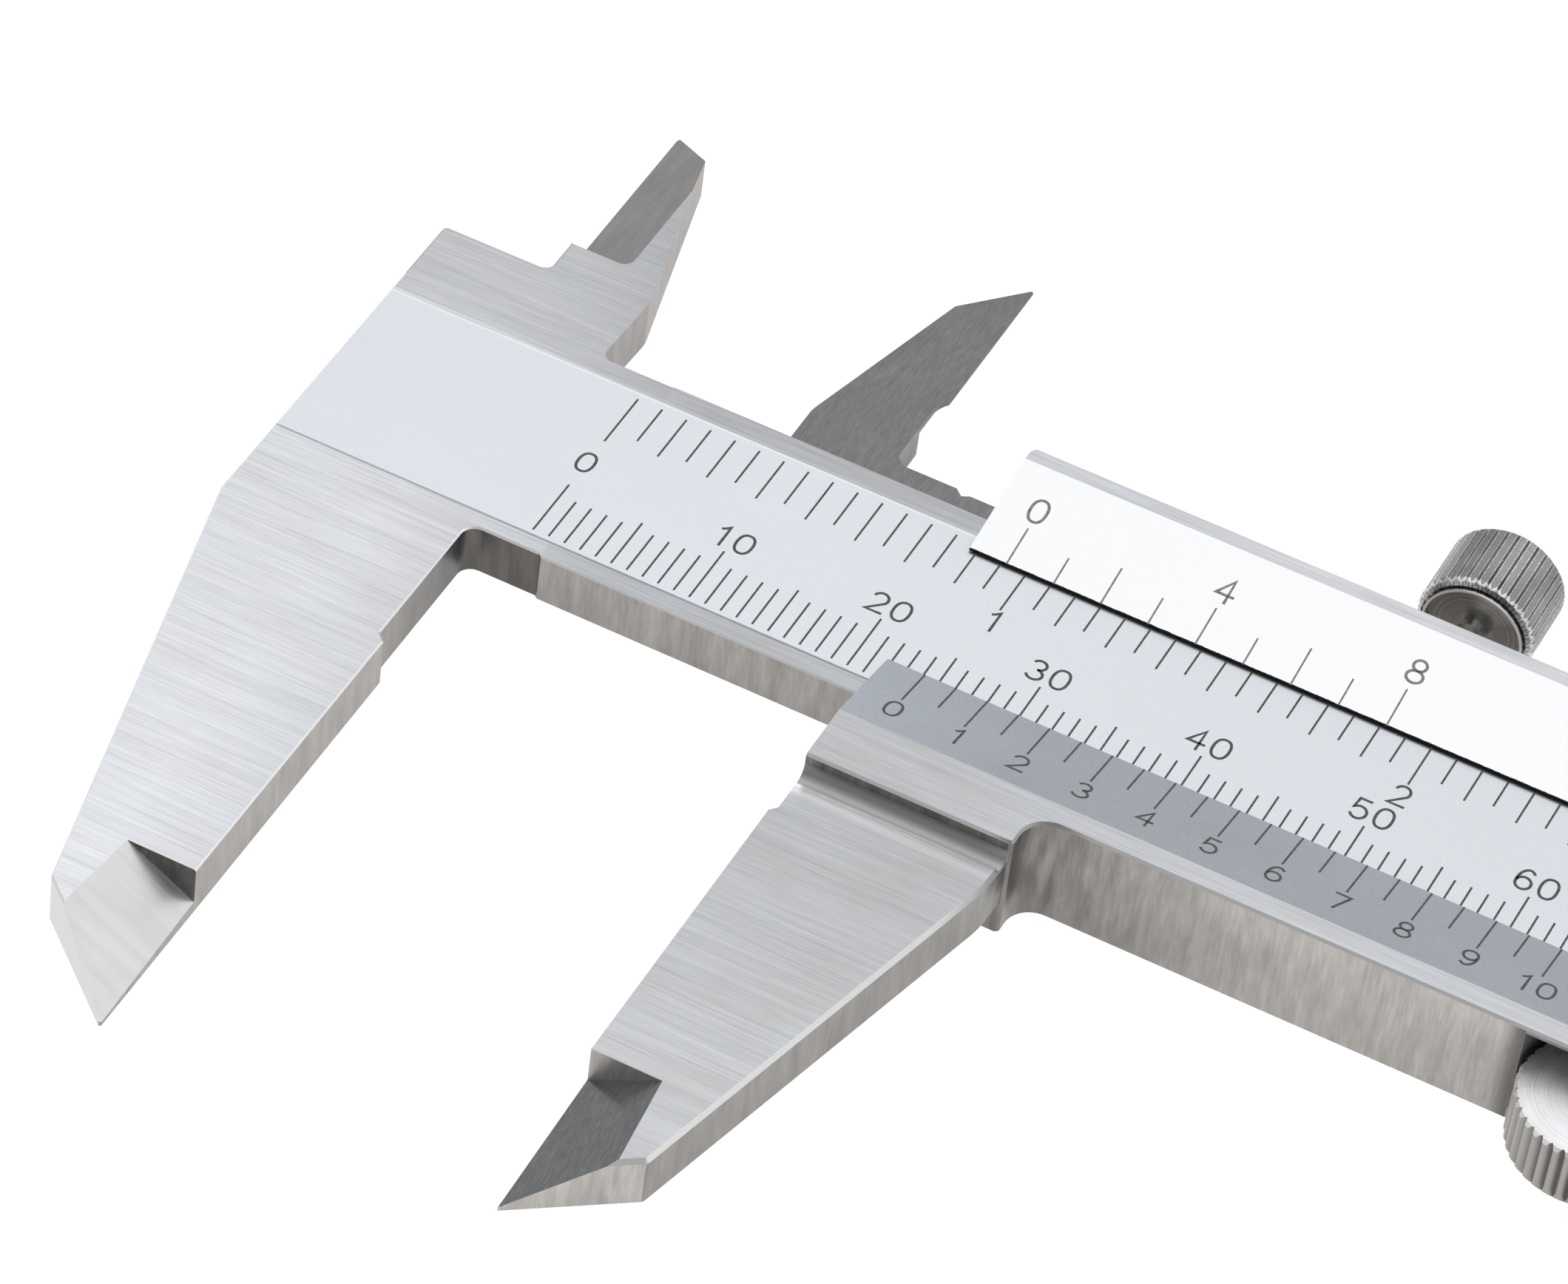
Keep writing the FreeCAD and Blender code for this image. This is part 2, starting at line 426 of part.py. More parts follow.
def roller_mount():
    """Bracket, its screws and leaf spring, the roller's axle and its washer."""
    bracket = plate(bracket_outline(0), SLIDER_BACK_Z, BRACKET_Z)
    bracket = bracket.cut(rod_z(ROLLER_X, ROLLER_Y, AXLE_R, SLIDER_BACK_Z - 1, BRACKET_Z + 1))
    solids = {}
    for place, x in BRACKET_SCREW_X.items():
        bracket = bracket.cut(flat_head_hole(x, BRACKET_SCREW_Y, SLIDER_BACK_Z, BRACKET_Z + 0.1, 1.1, 0.6))
        solids["roller_bracket_screw_" + place] = flat_head_screw(
            x, BRACKET_SCREW_Y, SLIDER_BACK_Z, -1.7, 1.1, 0.6, 3 * x)
    solids["roller_bracket"] = bracket

    head_z = ROLLER_Z1 - 0.85 + 0.05
    axle = rod_z(ROLLER_X, ROLLER_Y, AXLE_R, SLIDER_BACK_Z, head_z)
    axle = axle.fuse(rod_z(ROLLER_X, ROLLER_Y, AXLE_HEAD_R, head_z, head_z + 0.6))
    slot = box(ROLLER_X - 3, ROLLER_X + 3, ROLLER_Y - 0.2, ROLLER_Y + 0.2, head_z + 0.3, head_z + 1)
    solids["roller_axle"] = axle.cut(slot)

    washer = rod_z(ROLLER_X, ROLLER_Y, 2.3, BRACKET_Z, ROLLER_Z0 - 0.02)
    solids["roller_washer"] = washer.cut(rod_z(ROLLER_X, ROLLER_Y, AXLE_R + 0.04, BRACKET_Z - 1, 0))

    x0, x1, foot, crown, thick = 62.4, 66.3, BRACKET_Y0 - 0.77, BRACKET_Y0 - 0.25, 0.22
    middle = (x0 + x1) / 2
    z0 = SLIDER_BACK_Z + 0.1
    arch = Part.Wire([
        Part.Arc(V(x0, foot, z0), V(middle, crown, z0), V(x1, foot, z0)).toShape(),
        Part.LineSegment(V(x1, foot, z0), V(x1, foot + thick, z0)).toShape(),
        Part.Arc(V(x1, foot + thick, z0), V(middle, crown + thick, z0), V(x0, foot + thick, z0)).toShape(),
        Part.LineSegment(V(x0, foot + thick, z0), V(x0, foot, z0)).toShape()])
    solids["roller_spring"] = Part.Face(arch).extrude(V(0, 0, 0.6))
    return solids


# ---------------------------------------------------------------- write
def main():
    solids = {"main_beam": main_beam(), "slider_body": slider_body(), "gib_strip": gib_strip(),
              "depth_bar": depth_bar(), "thumb_roller": thumb_roller()}
    for group in (end_stop(), gib_set_screws(), lock_screw(), depth_bar_screws(), roller_mount()):
        solids.update(group)
    overall = FreeCAD.BoundBox()
    for shape in solids.values():
        overall.add(shape.optimalBoundingBox(False))
    origin = V(overall.Center.x, overall.Center.y, overall.ZMin)
    print("origin in the scale frame", origin, "overall", overall)
    os.makedirs("parts", exist_ok=True)
    for name, shape in solids.items():
        shape.translate(-origin)
        solid = shape.Solids[0] if len(shape.Solids) == 1 else shape
        solid.exportStep(f"parts/{name}.step")
        print(f"{name:28s} solids {len(shape.Solids)} valid {shape.isValid()} "
              f"volume {shape.Volume:9.2f} mm3")


main()
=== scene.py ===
"""Looks of a 150 mm vernier caliper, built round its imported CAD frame.

Places are given in millimetres in the caliper's scale frame: X along the beam from the
scale's zero line, Y from the foot of the millimetre lines towards the inside jaws, Z out
of the scale face.  `at` turns such a place into the frame's metres.
"""
import bpy
import math
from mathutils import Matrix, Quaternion, Vector


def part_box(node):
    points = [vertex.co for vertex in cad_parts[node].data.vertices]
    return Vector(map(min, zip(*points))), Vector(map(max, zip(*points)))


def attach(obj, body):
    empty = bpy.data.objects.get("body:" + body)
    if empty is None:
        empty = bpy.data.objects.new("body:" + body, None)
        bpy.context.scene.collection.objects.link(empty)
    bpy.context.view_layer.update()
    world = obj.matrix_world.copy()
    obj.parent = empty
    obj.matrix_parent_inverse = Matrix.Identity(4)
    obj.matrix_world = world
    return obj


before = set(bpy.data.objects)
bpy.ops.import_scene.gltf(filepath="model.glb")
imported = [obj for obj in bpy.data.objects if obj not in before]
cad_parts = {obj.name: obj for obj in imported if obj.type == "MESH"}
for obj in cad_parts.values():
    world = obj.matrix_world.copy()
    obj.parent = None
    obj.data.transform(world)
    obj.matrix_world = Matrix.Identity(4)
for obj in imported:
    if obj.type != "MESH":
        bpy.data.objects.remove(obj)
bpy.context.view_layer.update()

MM = 0.001
BEAM_END_X = 213.5              # scale-frame places of three CAD faces, which fix its origin
RAIL_Z = 0.13
BAR_SIDE_Y = 4.85
ORIGIN = Vector((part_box("main_beam")[1].x - BEAM_END_X * MM,
                 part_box("depth_bar")[0].y - BAR_SIDE_Y * MM,
                 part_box("main_beam")[1].z - RAIL_Z * MM))

READING = 24.15                 # the vernier's zero at rest
BEAM_TOP_Y = 14.87
RAIL_LOW_Y, RAIL_HIGH_Y = -0.30, 13.40   # the rails lie outside these
RELIEF_X0, RELIEF_X1 = -3.60, 1.45       # the beam's edge is undercut between these
RELIEF_Y = -12.20               # the fixed jaw's face is relieved above this
THIN_TIP_Y = -33.25             # both outside jaws are thin below this
FIXED_FACET_Y = -37.60          # the fixed jaw's outer end facet lies below this
NECK_X, NECK_Y = 34.50, -9.00   # the moving jaw starts at this corner with a cove
COVE_Y, COVE_Z = -9.87, 1.00
LIP_Z = 1.70
LOW_EDGE, LOW_FOOT = Vector((0, 1.49, 0.22)), Vector((0, -4.92, LIP_Z))
HIGH_EDGE, HIGH_FOOT = Vector((0, 12.04, 0.22)), Vector((0, 19.00, LIP_Z))
ROLLER_CENTRE = Vector((69.08, -6.65, 0))
ROLLER_FACE_Z, ROLLER_R, ROLLER_TEETH = -0.70, 4.77, 40
LOCK_CENTRE = Vector((48.70, 0, -1.50))
KNOB_Y, KNOB_TEETH = 23.15, 35  # the knob's lower face
CUP_R = 2.97                    # the hollow in it

PROUD, SUNK = 0.006, 0.02       # the filled engraving stands this far over and under its face
STROKE = 0.10                   # width of a figure's stroke over its height
CELL, ADVANCE = 0.657, 0.829    # a figure's width and pitch over its height
BEAM_LINE, BEAM_FIGURE = 0.125, 1.75     # line width and figure height on the beam
LAST_MM, LAST_INCH, INCH = 190, 7, 25.4
METRIC_STEP = 39 / 20           # a metric vernier division: 20 of them in 39 mm
INCH_STEP = 2.9766              # an inch vernier division: 8 of them in 15/16 in


def at(x, y, z=0.0):
    """A scale-frame place in the frame's metres."""
    return ORIGIN + Vector((x, y, z)) * MM


# ---------------------------------------------------------------- camera, light and floor
def make_camera():
    """Looks down at the fixed jaw and the slider's front half, slightly rolled."""
    place, aim, roll = at(125.226, -281.027, 296.191), at(16.18, -0.292), math.radians(8.129)
    data = bpy.data.cameras.new("camera")
    data.lens, data.sensor_width = 172.97, 36.0
    data.clip_start, data.clip_end = 0.01, 10.0
    camera = bpy.data.objects.new("camera", data)
    camera.rotation_mode = "QUATERNION"
    camera.location = place
    camera.rotation_quaternion = ((aim - place).to_track_quat("-Z", "Y")
                                  @ Quaternion((0, 0, 1), roll))
    bpy.context.scene.collection.objects.link(camera)
    bpy.context.scene.camera = camera


class Tree:
    """A shader tree with short calls; each call adds a node and returns its output."""

    def __init__(self, tree):
        self.tree = tree
        tree.nodes.clear()

    def node(self, kind, values, **settings):
        made = self.tree.nodes.new("ShaderNode" + kind)
        for name, value in settings.items():
            setattr(made, name, value)
        for key, value in values.items():
            if isinstance(value, bpy.types.NodeSocket):
                self.tree.links.new(value, made.inputs[key])
            else:
                made.inputs[key].default_value = value
        return made

    def math(self, operation, *values):
        return self.node("Math", dict(enumerate(values)), operation=operation).outputs[0]

    def vector(self, operation, *values):
        made = self.node("VectorMath", dict(enumerate(values)), operation=operation)
        return made.outputs["Value" if operation in ("DOT_PRODUCT", "LENGTH") else "Vector"]

    def over(self, value, limit):
        return self.math("GREATER_THAN", value, limit)

    def under(self, value, limit):
        return self.math("LESS_THAN", value, limit)

    def every(self, *masks):
        product = masks[0]
        for mask in masks[1:]:
            product = self.math("MULTIPLY", product, mask)
        return product

    def remap(self, value, low, high, to_low=0.0, to_high=1.0, smooth=False):
        made = self.node("MapRange", {0: value, 1: low, 2: high, 3: to_low, 4: to_high})
        made.interpolation_type = "SMOOTHSTEP" if smooth else "LINEAR"
        return made.outputs[0]

    def mix(self, factor, a, b):
        return self.node("Mix", {0: factor, 2: a, 3: b}, data_type="FLOAT").outputs[0]

    def mix_vector(self, factor, a, b):
        return self.node("Mix", {0: factor, 4: a, 5: b}, data_type="VECTOR").outputs[1]

    def mix_color(self, factor, a, b):
        return self.node("Mix", {0: factor, 6: a, 7: b}, data_type="RGBA").outputs[2]


def make_world():
    """A white studio: bright overhead and at the right, dim at the horizon and the camera."""
    world = bpy.data.worlds.new("studio")
    bpy.context.scene.world = world
    world.use_nodes = True
    tree = Tree(world.node_tree)
    direction = tree.node("TexCoord", {}).outputs["Generated"]
    height = tree.node("SeparateXYZ", {0: direction}).outputs[2]
    level = tree.remap(height, -0.1, 0.45, 0.42, 0.66)
    level = tree.math("ADD", level, tree.remap(height, 0.45, 0.85, 0.0, 0.62, smooth=True))
    lobes = [((0.80, 0.45, 0.40), 20, 60, 0.35),      # towards, inner and outer angle, gain
             ((0.26, -0.66, 0.70), 12, 48, -0.80)]
    for towards, inner, outer, gain in lobes:
        cosine = tree.vector("DOT_PRODUCT", direction, Vector(towards).normalized())
        lobe = tree.remap(cosine, math.cos(math.radians(outer)), math.cos(math.radians(inner)),
                          0.0, gain, smooth=True)
        level = tree.math("ADD", level, lobe)
    tint = tree.mix_color(tree.remap(height, 0.3, 0.9), (0.93, 0.96, 1.0, 1), (1, 1, 1, 1))
    light = tree.node("Background", {0: tint, 1: level})
    tree.node("OutputWorld", {0: light.outputs[0]})


def make_floor():
    """White table top that the slider's back rests on."""
    half = 1.5
    mesh = bpy.data.meshes.new("floor")
    mesh.from_pydata([(-half, -half, 0), (half, -half, 0), (half, half, 0), (-half, half, 0)],
                     [], [(0, 1, 2, 3)])
    floor = bpy.data.objects.new("floor", mesh)
    floor.location = (0, 0, -0.02 * MM)
    bpy.context.scene.collection.objects.link(floor)
    material = bpy.data.materials.new("floor_white")
    material.use_nodes = True
    tree = Tree(material.node_tree)
    paper = tree.node("BsdfDiffuse", {0: (0.10, 0.10, 0.10, 1)})
    glow = tree.node("Emission", {0: (1, 1, 1, 1), 1: 0.97})
    both = tree.node("AddShader", {0: paper.outputs[0], 1: glow.outputs[0]})
    tree.node("OutputMaterial", {0: both.outputs[0]})
    mesh.materials.append(material)


# ---------------------------------------------------------------- materials
ALONG_X, ALONG_Y, ALONG_Z = (1, 0, 0), (0, 1, 0), (0, 0, 1)


class Look(Tree):
    """One material: zones of (colour, roughness, height, grain tangent) mixed by masks."""

    def __init__(self, name):
        self.material = bpy.data.materials.new(name)
        self.material.use_nodes = True
        super().__init__(self.material.node_tree)
        coordinates = self.node("TexCoord", {})
        shifted = self.vector("SUBTRACT", coordinates.outputs["Object"], ORIGIN)
        self.place = self.node("VectorMath", {0: shifted, "Scale": 1 / MM},
                               operation="SCALE").outputs["Vector"]
        parts = self.node("SeparateXYZ", {0: self.place}).outputs
        self.x, self.y, self.z = parts[0], parts[1], parts[2]
        facing = self.node("SeparateXYZ", {0: coordinates.outputs["Normal"]}).outputs
        self.nx, self.ny, self.nz = facing[0], facing[1], facing[2]

    def noise(self, size, detail=2.0, roughness=0.5):
        """Noise from 0 to 1 whose features are size = (x, y, z) millimetres large."""
        scaled = self.vector("DIVIDE", self.place, size)
        made = self.node("TexNoise", {"Vector": scaled, "Scale": 1.0, "Detail": detail,
                                      "Roughness": roughness}, noise_dimensions="3D")
        return made.outputs["Fac"]

    def tone(self, color, amount):
        """The colour times an amount."""
        gray = self.node("CombineXYZ", {0: amount, 1: amount, 2: amount}).outputs[0]
        return self.vector("MULTIPLY", color, gray)

    def brushed(self, color, roughness, grain, tangent, streak=0.10, cloud=0.06, tint=None,
                depth=0.0012, fine=0.14, coarse=0.55, reach=9.0):
        """Brushed metal: grain is the scratches' direction, tangent lies across it."""
        grain = Vector(grain)
        across = Vector((1, 1, 1)) - grain
        lines = self.noise(grain * reach + across * fine, 2.0, 0.6)
        bands = self.noise(grain * reach * 2.4 + across * coarse, 2.0, 0.5)
        blotch = self.noise(Vector((3.5, 3.5, 3.5)) + grain * reach / 2, 3.0, 0.6)
        level = self.remap(lines, 0.3, 0.7, 1 - streak, 1 + streak)
        level = self.math("MULTIPLY", level, self.remap(bands, 0.3, 0.7, 1 - cloud, 1 + cloud))
        level = self.math("MULTIPLY", level, self.remap(blotch, 0.3, 0.7, 1 - cloud, 1 + cloud))
        painted = self.tone(color, level)
        if tint is not None:
            painted = self.mix_vector(self.remap(blotch, 0.45, 0.62, 0.0, 0.6, smooth=True),
                                      painted, self.tone(tint, level))
        rough = self.math("ADD", self.remap(lines, 0.3, 0.7, -0.05, 0.05), roughness)
        height = self.math("MULTIPLY", lines, depth)
        return painted, rough, height, Vector(tangent)

    def satin(self, color, roughness, speck=0.02):
        """Fine bead-blasted or satin-chrome finish without a direction."""
        frost = self.noise(Vector((0.09, 0.09, 0.09)), 3.0, 0.7)
        cloud = self.noise(Vector((9.0, 4.0, 4.0)), 2.0)
        level = self.math("MULTIPLY", self.remap(frost, 0.3, 0.7, 1 - speck, 1 + speck),
                          self.remap(cloud, 0.3, 0.7, 0.985, 1.015))
        rough = self.math("ADD", self.remap(cloud, 0.3, 0.7, -0.03, 0.03), roughness)
        height = self.math("MULTIPLY", frost, 0.0015)
        return self.tone(color, level), rough, height, Vector(ALONG_X)

    def blend(self, mask, over, under):
        """Zone `over` where the mask is 1 and `under` where it is 0."""
        return (self.mix_vector(mask, under[0], over[0]), self.mix(mask, under[1], over[1]),
                self.mix(mask, under[2], over[2]), self.mix_vector(mask, under[3], over[3]))

    def shade(self, zone, *amounts):
        """The zone with its colour times the amounts."""
        return (self.tone(zone[0], self.every(*amounts)), *zone[1:])

    def edge_break(self, zone, finish):
        """Puts a bright finish on the chamfers round the front faces: a painted highlight."""
        mask = self.every(self.over(self.nz, 0.5), self.under(self.nz, 0.80))
        return self.blend(mask, finish, zone)

    def done(self, zone, anisotropy=0.0, metallic=1.0):
        """Closes the tree with one metal shader and returns the material."""
        color, roughness, height, tangent = zone
        bump = self.node("Bump", {"Strength": 1.0, "Distance": MM, "Height": height})
        shader = self.node("BsdfPrincipled", {
            "Base Color": color, "Metallic": metallic, "Roughness": roughness,
            "Anisotropic": anisotropy, "Normal": bump.outputs[0]})
        if anisotropy and isinstance(tangent, bpy.types.NodeSocket):
            self.tree.links.new(tangent, shader.inputs["Tangent"])
        elif anisotropy:
            steady = self.node("CombineXYZ", {i: tangent[i] for i in range(3)}).outputs[0]
            self.tree.links.new(steady, shader.inputs["Tangent"])
        self.node("OutputMaterial", {0: shader.outputs[0]})
        return self.material


def ground_wall(look, color):
    """Side walls: ground upright, mottled warm gray, and darker towards the bottom by painted
    shade.
    """
    wall = look.brushed(color, 0.36, ALONG_Z, ALONG_X, streak=0.11, cloud=0.12,
                        tint=tuple(channel * 0.84 for channel in color), fine=0.20, coarse=0.8,
                        reach=1.7)
    # painted shade: the walls' colour falls from 1.06 times at the top to 0.90 times at the bottom
    return look.shade(wall, look.remap(look.z, -4.5, 1.0, 0.90, 1.06))


def beam_steel():
    """Main beam: brushed rails and jaws, satin scale face, ground tip and blade bevels."""
    look = Look("beam_steel")
    up = look.over(look.nz, 0.9)
    front = look.brushed((0.70, 0.705, 0.72), 0.30, ALONG_X, ALONG_Y, streak=0.13, cloud=0.04,
                         tint=(0.66, 0.68, 0.72), depth=0.0008, fine=0.10, coarse=0.4, reach=6.0)
    on_beam = look.over(look.x, 1.4)
    # painted light and shade: lighter down the jaw, darker up the head and towards the beam, the
    # low rail darker and the high rail lighter
    front = look.shade(front, look.remap(look.y, -30, -3, 1.07, 1.0),
                       look.remap(look.y, 0, 16, 1.0, 0.80),
                       look.remap(look.y, 18, 25, 1.0, 0.90),
                       look.remap(look.x, -8, 4, 1.0, 0.76),
                       look.mix(look.every(on_beam, look.under(look.y, RAIL_LOW_Y)), 1.0, 0.91),
                       look.mix(look.every(on_beam, look.over(look.y, RAIL_HIGH_Y)), 1.0, 1.06))
    # the walls' dark colour is partly painted shade, for the dim surroundings they face; the warm
    # mottling is their own
    wall = ground_wall(look, (0.345, 0.324, 0.308))
    # painted shade: in the relieved corner above the fixed jaw's face the walls darken from 0.88 to
    # 0.37 times towards the beam; painted light makes the walls below it 1.08 times lighter
    relieved = look.every(look.over(look.x, RELIEF_X0), look.under(look.x, RELIEF_X1),
                          look.over(look.y, RELIEF_Y), look.under(look.y, RAIL_LOW_Y))
    wall = look.shade(wall, look.mix(relieved, 1.0, look.remap(look.y, -11.5, -2.5, 0.88, 0.37)),
                      look.mix(look.under(look.y, RELIEF_Y), 1.0, 1.08))
    end_facet = look.every(look.under(look.nx, -0.3), look.under(look.y, FIXED_FACET_Y))
    wall = look.blend(end_facet, look.satin((0.665, 0.67, 0.675), 0.34), wall)
    zone = look.blend(look.over(look.math("ABSOLUTE", look.nz), 0.9), front, wall)
    # painted highlight on the beam's chamfers
    zone = look.edge_break(zone, look.satin((0.90, 0.90, 0.90), 0.55, speck=0.04))
    # painted shade: the scale face darkens to 0.935 times towards larger x
    scale = look.shade(look.satin((0.772, 0.79, 0.822), 0.42, speck=0.09),
                       look.remap(look.x, 10, 55, 1.0, 0.935))
    on_scale = look.every(up, look.under(look.z, 0.05), look.over(look.z, -0.05))
    zone = look.blend(on_scale, scale, zone)
    tip_bevel = look.brushed((0.57, 0.57, 0.565), 0.34, (1, 0, 1), ALONG_Y, streak=0.05, cloud=0.05,
                             fine=0.3, coarse=0.6, reach=4.0, depth=0.0004)
    zone = look.blend(look.every(look.over(look.nx, 0.3), look.over(look.nz, 0.6),
                                 look.under(look.y, THIN_TIP_Y)), tip_bevel, zone)
    blade = look.brushed((0.255, 0.245, 0.235), 0.30, ALONG_Y, ALONG_X, streak=0.11, cloud=0.10,
                         fine=0.12, coarse=0.5, reach=1.2)
    zone = look.blend(look.every(look.under(look.nx, -0.3), look.over(look.nz, 0.5),
                                 look.over(look.y, BEAM_TOP_Y)), blade, zone)
    return look.done(zone, anisotropy=0.6)


def slider_steel():
    """Slider: brushed lips and jaw, a white vernier bevel and a gray one darkened by painted shade,
    dark blade and tip.
    """
    look = Look("slider_steel")
    up = look.over(look.nz, 0.9)
    front = look.brushed((0.52, 0.52, 0.53), 0.30, ALONG_X, ALONG_Y, streak=0.13, cloud=0.055,
                         tint=(0.49, 0.505, 0.535), depth=0.0008, fine=0.10, coarse=0.4, reach=6.0)
    lip = look.over(look.z, 1.0)
    # painted light and shade: the jaw lighter towards its end, the jaw face up to 1.60 times
    # lighter towards the cove, the lips lighter towards the right, the strip over the beam 1.18
    # times lighter
    front = look.shade(front, look.remap(look.y, -30, -14, 1.07, 0.97),
                       look.mix(lip, look.remap(look.y, -12.0, -10.6, 1.0, 1.09), 1.0),
                       look.mix(lip, look.remap(look.y, -10.9, COVE_Y, 1.0, 1.60),
                                look.remap(look.x, 30, 42, 1.03, 1.135)),
                       look.mix(look.over(look.y, BEAM_TOP_Y), 1.0, 1.18))
    # painted shade: the walls' dark colour is partly painted shade, and they darken to 0.55 times
    # towards the neck; the warm mottling is their own
    wall = look.shade(ground_wall(look, (0.442, 0.42, 0.40)), look.remap(look.x, 34, 50, 0.55, 1.0))
    on_jaw = look.under(look.y, COVE_Y)
    stain = look.remap(look.noise(Vector((0.7, 2.0, 3.5)), 3.0), 0.35, 0.65, 0.70, 1.14)
    clean = look.math("MAXIMUM", look.remap(look.x, 36, 46), on_jaw)
    wall = look.shade(wall, look.mix(clean, stain, 1.0))
    # painted light: the jaw's walls are 1.22 times lighter and its end facet a further 1.66 times
    end_facet = look.every(look.under(look.ny, -0.7), on_jaw)
    wall = look.shade(wall, look.mix(on_jaw, 1.0, 1.22), look.mix(end_facet, 1.0, 1.66))
    # painted shade: the walls darken to 0.35 times round the roller's pocket
    near = look.vector("LENGTH", look.vector("MULTIPLY", look.vector(
        "SUBTRACT", look.place, ROLLER_CENTRE), (1, 1, 0)))
    wall = look.shade(wall, look.remap(near, ROLLER_R + 0.3, ROLLER_R + 1.7, 0.35, 1.0,
                                       smooth=True))
    pocket = look.every(look.under(near, ROLLER_R + 0.24), look.under(look.y, -1.6))
    wall = look.blend(pocket, look.satin((0.36, 0.35, 0.34), 0.6), wall)
    zone = look.blend(look.over(look.math("ABSOLUTE", look.nz), 0.97), front, wall)
    # painted highlight on the slider's chamfers, dimmed to 0.55 times near the neck by painted
    # shade
    near_neck = look.every(look.remap(look.x, NECK_X - 1.6, NECK_X, smooth=True),
                           look.remap(look.x, NECK_X + 4.0, NECK_X + 1.4, smooth=True))
    painted_edge_highlight = look.shade(look.satin((0.75, 0.75, 0.74), 0.55, speck=0.04),
                        look.mix(near_neck, 1.0, 0.55))
    zone = look.edge_break(zone, painted_edge_highlight)
    in_cove = look.every(look.over(look.z, 0.1305), look.under(look.z, COVE_Z),
                         look.under(look.y, NECK_Y + 0.03), look.over(look.y, COVE_Y))
    # painted shade and light: the cove darker where it stands steep, lighter where it turns flat
    # into the jaw face
    cove = look.shade(look.satin((0.465, 0.455, 0.445), 0.6),
                      look.remap(look.nz, 0.0, 0.5, 0.75, 1.0),
                      look.remap(look.nz, 0.85, 1.0, 1.0, 1.25))
    zone = look.blend(in_cove, cove, zone)
    dark = look.brushed((0.205, 0.202, 0.20), 0.26, ALONG_Y, ALONG_X, streak=0.18, cloud=0.05,
                        fine=0.07, coarse=0.4, reach=0.9, depth=0.0008)
    blade = look.every(up, look.under(look.z, -3.0))
    tip = look.every(look.under(look.nx, -0.3), look.over(look.nz, 0.5),
                     look.under(look.y, THIN_TIP_Y))
    # painted light: the tip's end bevel is 1.34 times lighter than the blade
    dark = look.shade(dark, look.mix(tip, 1.0, 1.34))
    zone = look.blend(look.math("MAXIMUM", blade, tip), dark, zone)
    # painted shade: the low bevel is the same satin chrome as the high one, given a darker
    # gray-blue; painted light makes it lighter towards its left end
    low_bevel = look.shade(look.satin((0.555, 0.58, 0.615), 0.45, speck=0.12),
                           look.remap(look.x, 22, 32, 1.10, 1.0))
    zone = look.blend(look.every(up, look.over(look.ny, 0.1)), low_bevel, zone)
    high_bevel = look.satin((0.80, 0.81, 0.813), 0.40, speck=0.01)
    past_edge = look.over(look.y, HIGH_EDGE.y - 0.1)
    zone = look.blend(look.every(up, look.under(look.ny, -0.1), past_edge), high_bevel, zone)
    # painted shadow: a near-black strip under the high bevel's edge stands for the shadow of the
    # gap beneath it; its top is ragged like a burr
    painted_burr_line = look.math("ADD", HIGH_EDGE.y + 0.01,
                     look.math("MULTIPLY", look.noise(Vector((0.35, 9, 9)), 3.0), 0.09))
    edge = look.every(past_edge, look.under(look.y, painted_burr_line), look.over(look.z, 0.0),
                      look.under(look.z, 0.6))
    zone = look.blend(edge, look.satin((0.03, 0.03, 0.03), 0.6), zone)
    return look.done(zone, anisotropy=0.6)


def plain_steel(name, color, grain, tangent, roughness=0.32):
    """Brushed steel of one direction, for the small parts and the depth bar."""
    look = Look(name)
    tint = tuple(channel * 0.9 for channel in color)
    return look.done(look.brushed(color, roughness, grain, tangent, tint=tint), anisotropy=0.5)


class Turned(Look):
    """Lathe-turned metal about an axis through centre; across drops that axis."""

    def __init__(self, name, centre, across, ring=0.16):
        super().__init__(name)
        self.arm = self.vector("MULTIPLY", self.vector("SUBTRACT", self.place, centre), across)
        self.radius = self.vector("LENGTH", self.arm)
        self.rings = self.node("TexNoise", {
            "W": self.math("DIVIDE", self.radius, ring), "Scale": 1.0,
            "Detail": 2.0}, noise_dimensions="1D").outputs[0]
        self.cloud = self.noise(Vector((1.6, 1.6, 1.6)), 3.0)

    def turned(self, color, roughness=0.28, contrast=0.11):
        """Zone of fine rings."""
        level = self.math("MULTIPLY", self.remap(self.rings, 0.3, 0.7, 1 - contrast, 1 + contrast),
                          self.remap(self.cloud, 0.3, 0.7, 0.93, 1.07))
        rough = self.remap(self.cloud, 0.3, 0.7, roughness - 0.05, roughness + 0.05)
        height = self.math("MULTIPLY", self.rings, 0.006)
        return self.tone(color, level), rough, height, Vector(ALONG_X)

    def tooth(self, teeth):
        """Way from a ridge's middle (0) to the middle of the groove beside it (0.5)."""
        parts = self.node("SeparateXYZ", {0: self.arm}).outputs
        side = self.math("ADD", parts[1], parts[2])
        turns = self.math("DIVIDE", self.math("ARCTAN2", side, parts[0]), 2 * math.pi)
        phase = self.math("FRACT", self.math("ADD", self.math("MULTIPLY", turns, teeth), 0.5))
        return self.math("ABSOLUTE", self.math("SUBTRACT", phase, 0.5))


def turned_metal(name, color, centre, across):
    """Plain turned metal, for the screws, the axle, the washer and the stud."""
    look = Turned(name, centre, across)
    return look.done(look.turned(color))


